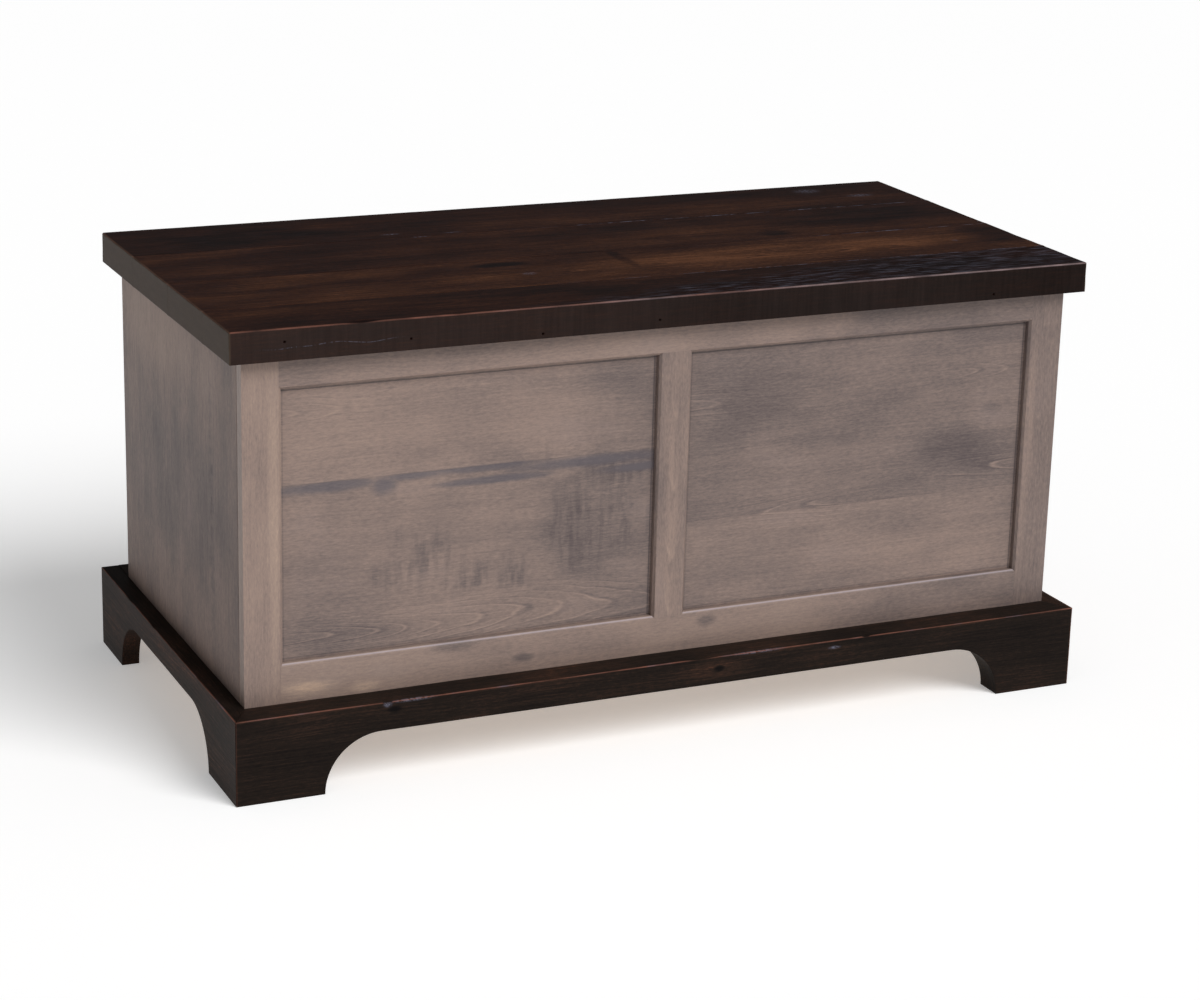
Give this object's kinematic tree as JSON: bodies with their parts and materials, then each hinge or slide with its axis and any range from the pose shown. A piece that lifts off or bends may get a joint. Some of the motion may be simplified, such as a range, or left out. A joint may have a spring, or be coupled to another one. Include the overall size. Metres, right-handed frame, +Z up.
{
  "type": "wooden blanket chest",
  "caption": "Long low wooden chest with a framed flat-panel front, thick hinged plank lid held by folding arms, and a dark base with arched bracket feet.",
  "frame": {"origin": "under the middle of the chest, on the floor", "axes": "+X to the chest's right, along its length; +Y to the back, so the front faces -Y; +Z up"},
  "size_m": [1.176, 0.61, 0.584],
  "materials": {
    "case_maple": "grey-brown stained maple, satin lacquer",
    "lid_planks": "dark stained reclaimed planks, low sheen, rubbed arrises",
    "base_boards": "espresso stained reclaimed boards, low sheen, rubbed arrises",
    "inner_wood": "plain planed hardwood",
    "floor_wood": "plain sealed maple",
    "hardware": "aged brass plate"
  },
  "bodies": {
    "case": {"front_stile_left": "case_maple", "front_stile_right": "case_maple", "front_mullion": "case_maple", "front_top_rail": "case_maple", "front_bottom_rail": "case_maple", "front_panel_left": "case_maple", "front_panel_right": "case_maple", "side_panel_left": "case_maple", "side_panel_right": "case_maple", "back_panel": "case_maple", "floor_panel": "floor_wood", "base_front": "base_boards", "base_left": "base_boards", "base_right": "base_boards", "base_rear_rail": "base_boards", "ledger_front": "inner_wood", "ledger_rear": "inner_wood", "ledger_left": "inner_wood", "ledger_right": "inner_wood", "foot_blocks": "inner_wood", "ledger_screws": "hardware", "case_screws": "hardware", "hinge_left_case_leaf": "hardware", "hinge_center_case_leaf": "hardware", "hinge_right_case_leaf": "hardware", "hinge_left_pin": "hardware", "hinge_center_pin": "hardware", "hinge_right_pin": "hardware", "hinge_case_screws": "hardware", "stay_left_case_bracket": "hardware", "stay_right_case_bracket": "hardware", "stay_case_screws": "hardware"},
    "lid": {"lid_plank_1": "lid_planks", "lid_plank_2": "lid_planks", "lid_plank_3": "lid_planks", "lid_plank_4": "lid_planks", "lid_batten_left": "inner_wood", "lid_batten_right": "inner_wood", "batten_screws": "hardware", "hinge_left_lid_leaf": "hardware", "hinge_center_lid_leaf": "hardware", "hinge_right_lid_leaf": "hardware", "hinge_lid_screws": "hardware", "stay_left_lid_bracket": "hardware", "stay_right_lid_bracket": "hardware", "stay_lid_screws": "hardware"},
    "stay_left_lower": {"stay_left_lower_arm": "hardware", "stay_left_elbow_rivet": "hardware"},
    "stay_left_upper": {"stay_left_upper_arm": "hardware"},
    "stay_right_lower": {"stay_right_lower_arm": "hardware", "stay_right_elbow_rivet": "hardware"},
    "stay_right_upper": {"stay_right_upper_arm": "hardware"}
  },
  "joints": [
    {"name": "lid_hinge", "type": "hinge", "parent": "case", "child": "lid", "pos_m": [0, 0.2595, 0.544], "axis": [-1, 0, 0], "range_deg": [0, 95]},
    {"name": "stay_left_case_pivot", "type": "hinge", "parent": "case", "child": "stay_left_lower", "pos_m": [-0.541, 0.212, 0.484], "axis": [-1, 0, 0], "range_deg": [0, 95]},
    {"name": "stay_left_lid_pivot", "type": "hinge", "parent": "lid", "child": "stay_left_upper", "pos_m": [-0.5375, 0.0745, 0.529], "axis": [-1, 0, 0], "range_deg": [-95, 0]},
    {"name": "stay_right_case_pivot", "type": "hinge", "parent": "case", "child": "stay_right_lower", "pos_m": [0.541, 0.212, 0.484], "axis": [-1, 0, 0], "range_deg": [0, 95]},
    {"name": "stay_right_lid_pivot", "type": "hinge", "parent": "lid", "child": "stay_right_upper", "pos_m": [0.5375, 0.0745, 0.529], "axis": [-1, 0, 0], "range_deg": [-95, 0]}
  ],
  "couplings": [
    {"joint": "stay_left_case_pivot", "follows": "lid_hinge", "ratio": 1},
    {"joint": "stay_left_lid_pivot", "follows": "lid_hinge", "ratio": -1},
    {"joint": "stay_right_case_pivot", "follows": "lid_hinge", "ratio": 1},
    {"joint": "stay_right_lid_pivot", "follows": "lid_hinge", "ratio": -1}
  ]
}
